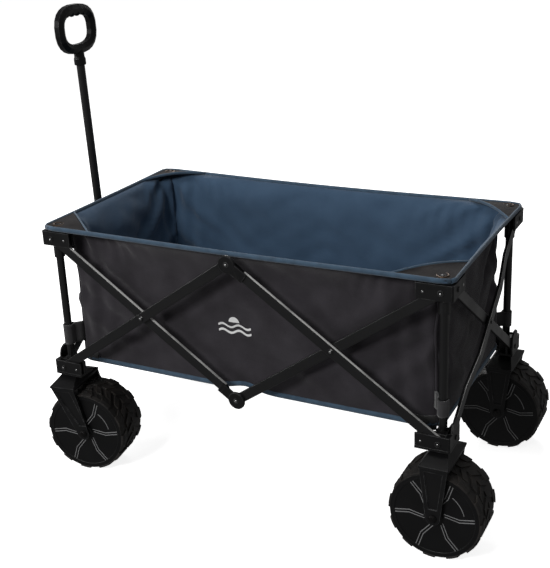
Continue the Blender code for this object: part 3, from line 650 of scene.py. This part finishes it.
def floor_reach(y):
    """How far the floor runs from the middle towards each end, less in the rounded corners."""
    over = max(abs(y) - (BODY_Y - BODY_CORNER), 0.0)
    inset = BODY_CORNER - math.sqrt(max(BODY_CORNER ** 2 - over ** 2, 0.0))
    return BODY_X + FOOT_LEAN - 0.0025 - inset


def floor_strip(name, y_low, y_high, body):
    """A third of the padded floor, quilted across."""
    rows = []
    columns = 60
    across = 10
    for j in range(across + 1):
        y = y_low + (y_high - y_low) * j / across
        reach = floor_reach(y)
        row = []
        for i in range(columns + 1):
            x = -reach + 2 * reach * i / columns
            edge = min(reach - abs(x), BODY_Y - 0.002 - abs(y)) / 0.03
            quilt = 0.0022 * abs(math.sin(math.pi * (x + reach) / (reach / 2))) ** 0.5
            sag = 0.0012 * noise.noise(Vector((x * 7, y * 9, 3.3)))
            near_wall = smoothstep(abs(y), BODY_Y - 0.045, BODY_Y - 0.004)
            arch = 0.0085 * math.exp(-(x / ARCH_REACH) ** 2) * near_wall
            row.append(Vector((x, y, FLOOR_TOP + (quilt + sag) * smoothstep(edge) + arch)))
        rows.append(row)
    item = place_piece(f"floor_{name}", grid_mesh(rows, measured_uv(rows)), [LINING, OUTSIDE], body)
    thicken(item, 0.0042, -1.0, inside=1, rim=1)
    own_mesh(item)
    return item


# ---- corner patches, buttons and straps ----
def side_named(name):
    """The wall called left, right, front or rear."""
    return next(side for side in SIDES if side.name == name)


def rim_near(corner, share):
    """The rim about one tip: share 0 is in along the long side, 0.5 the tip, 1 in along the end."""
    sx, sy = CORNERS[corner]
    if share <= 0.5:
        side = side_named("left" if sy < 0 else "right")
        end = sx if sy < 0 else -sx
        reach = 1 - PATCH_X / RIM_X * (1 - share * 2)
    else:
        side = side_named("front" if sx < 0 else "rear")
        end = sy if sx > 0 else -sy
        reach = 1 - PATCH_Y / RIM_Y * (share * 2 - 1)
    return side.point(end * reach, 2.0)


def corner_patch(corner):
    """A gusset that closes the rim's corner over the bracket, its inner edge arched and taped."""
    sx, sy = CORNERS[corner]
    steps = 24
    outer = [rim_near(corner, i / steps) + Vector((0, 0, 0.0040)) for i in range(steps + 1)]
    inward = Vector((-sx, -sy, 0)).normalized()
    hem = []
    for i in range(steps + 1):
        share = i / steps
        arch = math.sin(math.pi * share)
        straight = outer[0].lerp(outer[-1], share)
        hem.append(straight - inward * 0.003 * arch + Vector((0, 0, 0.0075 * arch)))
    rows = []
    for j in range(11):
        depth = j / 10
        row = []
        for i in range(steps + 1):
            point = outer[i].lerp(hem[i], depth)
            slack = math.sin(math.pi * depth) * math.sin(math.pi * i / steps)
            dent = noise.noise(Vector((point.x * 30, point.y * 30, sx + 2 * sy))) * 0.0016
            row.append(point + Vector((0, 0, (dent - 0.0012) * slack)))
        rows.append(row)
    if sx * sy > 0:
        rows = rows[::-1]
    item = place_piece(f"corner_patch_{corner}", grid_mesh(rows, measured_uv(rows)), [PATCH],
                       f"{corner}_top")
    thicken(item, 0.0014)
    tape = place_piece(f"patch_tape_{corner}", tube_mesh(hem, 0.0034, 0.55), [BINDING], f"{corner}_top")
    patch_stitches(corner)


def patch_stitches(corner):
    """Short bars of thread beside the eyelet."""
    sx, sy = CORNERS[corner]
    bm = bmesh.new()
    for i in range(4):
        middle = Vector((sx * (RIM_X - 0.047 - 0.0042 * i), sy * (RIM_Y - 0.028), RIM_Z + 0.0052))
        turn = Matrix.Rotation(math.radians(14 * sx * sy), 4, "Z")
        add_stitch(bm, middle, turn, (0.0005, 0.0060, 0.0004))
    mesh = bpy.data.meshes.new("stitches")
    bm.to_mesh(mesh)
    bm.free()
    return place_piece(f"patch_stitches_{corner}", mesh, [THREAD], f"{corner}_top")


def corner_button(corner):
    """The eyelet over the bracket: a bronze ring round a dark hollow with a sunk screw in it."""
    sx, sy = CORNERS[corner]
    seat = Matrix.Translation((sx * (RIM_X - EYELET_IN_X), sy * (RIM_Y - EYELET_IN_Y), RIM_Z + EYELET_LIFT))
    ring = [(0.0084, 0.0), (0.0132, 0.0), (0.0128, 0.0014), (0.0108, 0.0025), (0.0090, 0.0016)]
    place_piece(f"corner_eyelet_{corner}", turned_mesh(ring + ring[:1], 32, seat), [BRONZE], f"{corner}_top")
    cup = [(0.0, 0.0002), (0.0087, 0.0002), (0.0089, 0.0008), (0.0056, 0.0006), (0.0054, 0.0016),
           (0.0024, 0.0022), (0.0, 0.0023)]
    place_piece(f"corner_screw_{corner}", turned_mesh(cup, 24, seat), [SLOT_MATERIALS["black_plastic"]],
                f"{corner}_top")


def post_strap(corner, z_low, z_high):
    """Webbing wrapped close round the post, its two ends sewn together and on to the basket's corner."""
    sx, sy = CORNERS[corner]
    post = Vector((sx * POST_X, sy * POST_Y, 0))
    inner = Vector((sx * (BODY_X - 0.0045), sy * (BODY_Y - 0.0060), 0))
    out = (post - inner).normalized()
    side = Vector((-out.y, out.x, 0))
    radius = 0.0104
    half_seam = 0.0014
    neck = post - out * 0.0135
    loop = []
    for k in range(21):
        angle = math.radians(-150 + 300 * k / 20)
        loop.append(post + out * radius * math.cos(angle) + side * radius * math.sin(angle))
    for way in (-1, 1):
        tail = [inner.lerp(neck, i / 2) + side * way * half_seam for i in range(3)]
        loop = tail + loop if way < 0 else loop + tail[::-1]
    rows = []
    for i in range(9):
        z = z_low + (z_high - z_low) * i / 8
        rows.append([point + Vector((0, 0, z + 0.0006 * math.sin(j * 0.5))) for j, point in enumerate(loop)])
    item = place_piece(f"post_strap_{corner}", grid_mesh(rows, measured_uv(rows)), [STRAP],
                       f"{corner}_corner")
    thicken(item, 0.0018)


# ---- small hard pieces ----
def domed_rivet(name, place, direction, radius, body, look):
    """A low dome that stands out from place in the given direction."""
    turn = Vector(direction).to_track_quat("Z", "Y").to_matrix().to_4x4()
    dome = [(0.0, -0.0008), (radius, -0.0008), (radius, 0.0003), (radius * 0.72, 0.0010), (0.0, 0.0014)]
    place_piece(name, turned_mesh(dome, 18, Matrix.Translation(place) @ turn), [look], body)


def bracket_rivets(corner):
    """The small bright rivets that close each bracket's two halves."""
    sx, sy = CORNERS[corner]
    arm = 0.034
    end_plate = POST_X + 0.0237
    top_z = TOP_PIVOT_Z - 0.001
    for level, z, plate in (("top", top_z, 0.2475), ("corner", LOW_PIVOT_Z, 0.2552)):
        domed_rivet(f"{level}_side_rivet_{corner}", Vector((sx * (POST_X - arm), sy * plate, z)),
                    (0, sy, 0), 0.0027, f"{corner}_{level}", BRIGHT_METAL)
        domed_rivet(f"{level}_side_pin_{corner}", Vector((sx * POST_X, sy * (plate + 0.0020), z)),
                    (0, sy, 0), 0.0024, f"{corner}_{level}", BRIGHT_METAL)
    domed_rivet(f"top_end_rivet_{corner}", Vector((sx * end_plate, sy * (POST_Y - arm), top_z)),
                (sx, 0, 0), 0.0027, f"{corner}_top", BRIGHT_METAL)


def scissor_rivets(name):
    """Bright rivet heads in the middle hubs and on the crossings of one long side."""
    sy = -1 if name == "left" else 1
    middle = (TOP_PIVOT_Z + LOW_PIVOT_Z) / 2
    for node, body, x, z in (("top_hub_cap", "rear_falling", 0.0, TOP_PIVOT_Z),
                             ("bottom_hub_cap", "front_falling", 0.0, LOW_PIVOT_Z),
                             ("front_rising_bar", "front_rising", -POST_X / 2, middle),
                             ("rear_falling_bar", "rear_falling", POST_X / 2, middle)):
        low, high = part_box(f"{name}_{node}")
        face = (low[1] if sy < 0 else high[1]) - MIDDLE.y
        domed_rivet(f"{name}_{node}_head", Vector((x, face + sy * 0.0002, z)), (0, sy, 0), 0.0030,
                    f"{name}_{body}", BRIGHT_METAL)


def wheel_matrix(corner):
    """Where a wheel's own Z runs along its axle, from the middle of its core."""
    low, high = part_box(f"{corner}_wheel_core")
    middle = (Vector(low) + Vector(high)) / 2
    axis = next(Vector(joint["axis"]) for joint in frame["joints"] if joint["name"] == f"{corner}_wheel_spin")
    turn = axis.to_track_quat("Z", "Y").to_matrix().to_4x4()
    return Matrix.Translation(middle - MIDDLE) @ turn


def wheel_ridges(corner):
    """Six pairs of thin ridges on each face, bent at mid radius, one arc, a hub boss and a rim step. The ridges
    and the arc are pale grey, a painted highlight.
    """
    place = wheel_matrix(corner)
    low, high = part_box("rear_left_wheel_core")
    face = (high[1] - low[1]) / 2
    rim = (high[2] - low[2]) / 2
    bm = bmesh.new()
    for way in (-1, 1):
        flip = Matrix.Identity(4) if way > 0 else Matrix.Rotation(math.pi, 4, "X")
        for pair in range(6):
            for shift in (-1, 1):
                line = [(0.0210, 17 + shift * 8.0), (0.0500, 1 + shift * 3.4),
                        (rim - 0.0070, 5 + shift * 2.1)]
                flat = [Vector((r * math.cos(math.radians(a + 60 * pair)),
                                r * math.sin(math.radians(a + 60 * pair)), 0)) for r, a in line]
                add_ridge(bm, flat, face - 0.0003, 0.0011, place @ flip)
        # painted highlight: a pale arc on the face's upper side, placed by world up where the rim step catches
        # light
        up = place.to_3x3().inverted() @ Vector((0, 0, 1))
        ahead = Vector((0, 0, 1)).cross(up) * (1 if place.to_3x3().col[2].y > 0 else -1)
        highlight_arc = [(ahead * math.cos(math.radians(a)) + up * math.sin(math.radians(a))) * ARC_RADIUS
               for a in range(14, 58, 4)]
        turned = [flip.to_3x3().inverted() @ point for point in highlight_arc]
        add_ridge(bm, turned, face - 0.0003, 0.0010, place @ flip)
        name = "outer" if way > 0 else "inner"
        step = [(rim - 0.0070, face - 0.0030), (rim - 0.0070, face - 0.0005), (rim - 0.0058, face + 0.0006),
                (rim - 0.0044, face), (rim + 0.0014, face + 0.0004), (rim + 0.0024, face + 0.0003),
                (rim + 0.0024, face - 0.0030), (rim - 0.0070, face - 0.0030)]
        place_piece(f"wheel_step_{corner}_{name}", turned_mesh(step, 72, place @ flip),
                    [SLOT_MATERIALS["wheel_plastic"]], f"{corner}_wheel")
        hub = [(0.0062, face - 0.0004), (0.0165, face - 0.0004), (0.0158, face + 0.0018),
               (0.0120, face + 0.0024), (0.0062, face + 0.0024)]
        place_piece(f"wheel_hub_{corner}_{name}", turned_mesh(hub, 32, place @ flip),
                    [SLOT_MATERIALS["wheel_plastic"]], f"{corner}_wheel")
    mesh = bpy.data.meshes.new("ridges")
    bmesh.ops.recalc_face_normals(bm, faces=bm.faces)
    bm.to_mesh(mesh)
    bm.free()
    place_piece(f"wheel_ridges_{corner}", mesh, [RIDGE_HIGHLIGHT], f"{corner}_wheel", smooth=False)


def add_ridge(bm, path, height, width, matrix):
    """A low ridge with a sloped section along a path on the wheel's face."""
    rings = []
    for i, point in enumerate(path):
        before = path[max(i - 1, 0)]
        after = path[min(i + 1, len(path) - 1)]
        across = (after - before).normalized().cross(Vector((0, 0, 1)))
        low = height - 0.0006
        high = height + 0.0007
        section = [(width, low), (width * 0.55, high), (-width * 0.55, high), (-width, low)]
        rings.append([bm.verts.new(matrix @ (point + across * a + Vector((0, 0, z)))) for a, z in section])
    for first, second in zip(rings, rings[1:]):
        for k in range(4):
            bm.faces.new([first[k], first[(k + 1) % 4], second[(k + 1) % 4], second[k]])
    bm.faces.new(rings[0])
    bm.faces.new(rings[-1][::-1])


def basket():
    """Four walls with their trim, and the floor in three strips."""
    for side in SIDES:
        cloth = wall(side)
        tape = rim_binding(side)
        piping = foot_piping(side)
        stitches = stitch_line(side)
        round(sheet_width(side), 3)
        round(sheet_height(side), 3)
    left = floor_strip("left", FLOOR_GAP - BODY_Y, -STRIP_EDGE, "front_left_top")
    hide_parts("basket_floor")
    floor_strip("middle", -STRIP_EDGE, STRIP_EDGE, "handle_hanger")
    floor_strip("right", STRIP_EDGE, BODY_Y - FLOOR_GAP, "front_right_top")


def sheet_width(side):
    """A wall's cloth measured along the rim."""
    columns = spread(96, 0.35)
    row = [side.point(s, 2.0) for s in columns]
    return sum((b - a).length for a, b in zip(row, row[1:]))


def sheet_height(side):
    """A wall's cloth measured from foot to rim, with its hems."""
    column = [side.point(0.9, t) for t in heights()]
    return sum((b - a).length for a, b in zip(column, column[1:])) + HEM_ALLOWANCE


def white_mark():
    """A small printed mark on the left wall: a low sun over two waves."""
    side = side_named("left")

    def on_cloth(x, z):
        s = x / (side.half - BODY_CORNER * (1 - math.pi / 4))
        t = (z - WALL_LOW) / (FLARE_LOW - WALL_LOW)
        return side.point(s, t) + side.out * 0.0024

    bm = bmesh.new()
    for row in range(2):
        edges = []
        for i in range(25):
            x = -0.056 + 0.076 * i / 24
            z = 0.386 - 0.0130 * row + 0.0036 * math.sin(i / 24 * math.tau * 2)
            edges.append([bm.verts.new(on_cloth(x, z + half)) for half in (-0.0026, 0.0026)])
        for first, second in zip(edges, edges[1:]):
            bm.faces.new([first[0], second[0], second[1], first[1]])
    rim = []
    for i in range(13):
        angle = math.pi * i / 12
        rim.append([bm.verts.new(on_cloth(-0.018 + r * math.cos(angle), 0.3955 + r * math.sin(angle)))
                    for r in (0.0002, 0.0125)])
    for first, second in zip(rim, rim[1:]):
        bm.faces.new([first[0], first[1], second[1], second[0]])
    mesh = bpy.data.meshes.new("mark")
    bmesh.ops.recalc_face_normals(bm, faces=bm.faces)
    bm.to_mesh(mesh)
    bm.free()
    item = place_piece("printed_mark", mesh, [WHITE_MARK], side.body)
    squash_with_fold(item, side)


# ---- stage, light and camera ----
def stage():
    """A lit white floor, so the cart stands on near-white with only a soft shadow."""
    bpy.ops.mesh.primitive_plane_add(size=120)
    floor = bpy.context.active_object
    floor.name = "floor"
    shader = Shader("pale_floor", "f7f7f7", 0.95)
    shader.main.inputs["Specular IOR Level"].default_value = 0.0
    shader.main.inputs["Emission Color"].default_value = (1.0, 1.0, 1.0, 1.0)
    shader.main.inputs["Emission Strength"].default_value = 0.84
    floor.data.materials.append(shader.material)
    floor.visible_diffuse = False
    floor.visible_glossy = False
    world = bpy.data.worlds.new("studio")
    world.use_nodes = True
    background = world.node_tree.nodes["Background"]
    background.inputs["Color"].default_value = (1.0, 1.0, 1.0, 1.0)
    background.inputs["Strength"].default_value = 0.17
    bpy.context.scene.world = world
    bpy.context.scene.view_settings.view_transform = "Standard"


def lamp(name, place, target, size, power):
    """A round lamp aimed at target."""
    data = bpy.data.lights.new(name, "AREA")
    data.shape = "DISK"
    data.size = size
    data.energy = power
    item = bpy.data.objects.new(name, data)
    item.location = place
    item.rotation_euler = (Vector(target) - Vector(place)).to_track_quat("-Z", "Y").to_euler()
    bpy.context.scene.collection.objects.link(item)


def camera():
    """The photograph's own view, fitted to the cart's corners, hubs, rivets and wheels."""
    azimuth = math.radians(27.09)
    elevation = math.radians(19.4628)
    roll = math.radians(-2.3561)
    back = Vector((math.sin(azimuth) * math.cos(elevation), -math.cos(azimuth) * math.cos(elevation),
                   math.sin(elevation)))
    right = Vector((math.cos(azimuth), math.sin(azimuth), 0.0))
    up = back.cross(right)
    right, up = (right * math.cos(roll) + up * math.sin(roll), up * math.cos(roll) - right * math.sin(roll))
    data = bpy.data.cameras.new("camera")
    data.sensor_fit = "HORIZONTAL"
    data.sensor_width = 36.0
    data.lens = 67.77
    data.shift_x = -0.02101
    data.shift_y = -0.06949
    data.clip_end = 60.0
    item = bpy.data.objects.new("camera", data)
    bpy.context.scene.collection.objects.link(item)
    turn = Matrix((right, up, back)).transposed().to_4x4()
    item.matrix_world = Matrix.Translation(MIDDLE + Vector((0.9664, -1.8812, 1.2425))) @ turn
    bpy.context.scene.camera = item


dress_cad()
basket()
for corner_name in CORNERS:
    corner_seam(corner_name)
    corner_patch(corner_name)
    corner_button(corner_name)
    bracket_rivets(corner_name)
    wheel_ridges(corner_name)
for side_name in ("left", "right"):
    post_strap(f"front_{side_name}", 0.288, 0.334)
    post_strap(f"rear_{side_name}", 0.286, 0.320)
for wall_name in ("left", "right"):
    scissor_rivets(wall_name)
    for wall_end in (-1, 1):
        foot_corner(side_named(wall_name), wall_end)
white_mark()
stage()
lamp("key", (-0.9, -3.6, 2.6), (0.12, 0, 0.3), 1.2, 92)
lamp("top", (-0.4, 0.2, 4.4), (0, 0, 0.4), 1.8, 42)
lamp("back", (-1.4, 3.2, 2.6), (0, 0, 0.4), 1.5, 60)
lamp("side", (-3.4, -1.9, 1.4), (0, 0, 0.4), 0.9, 30)
camera()
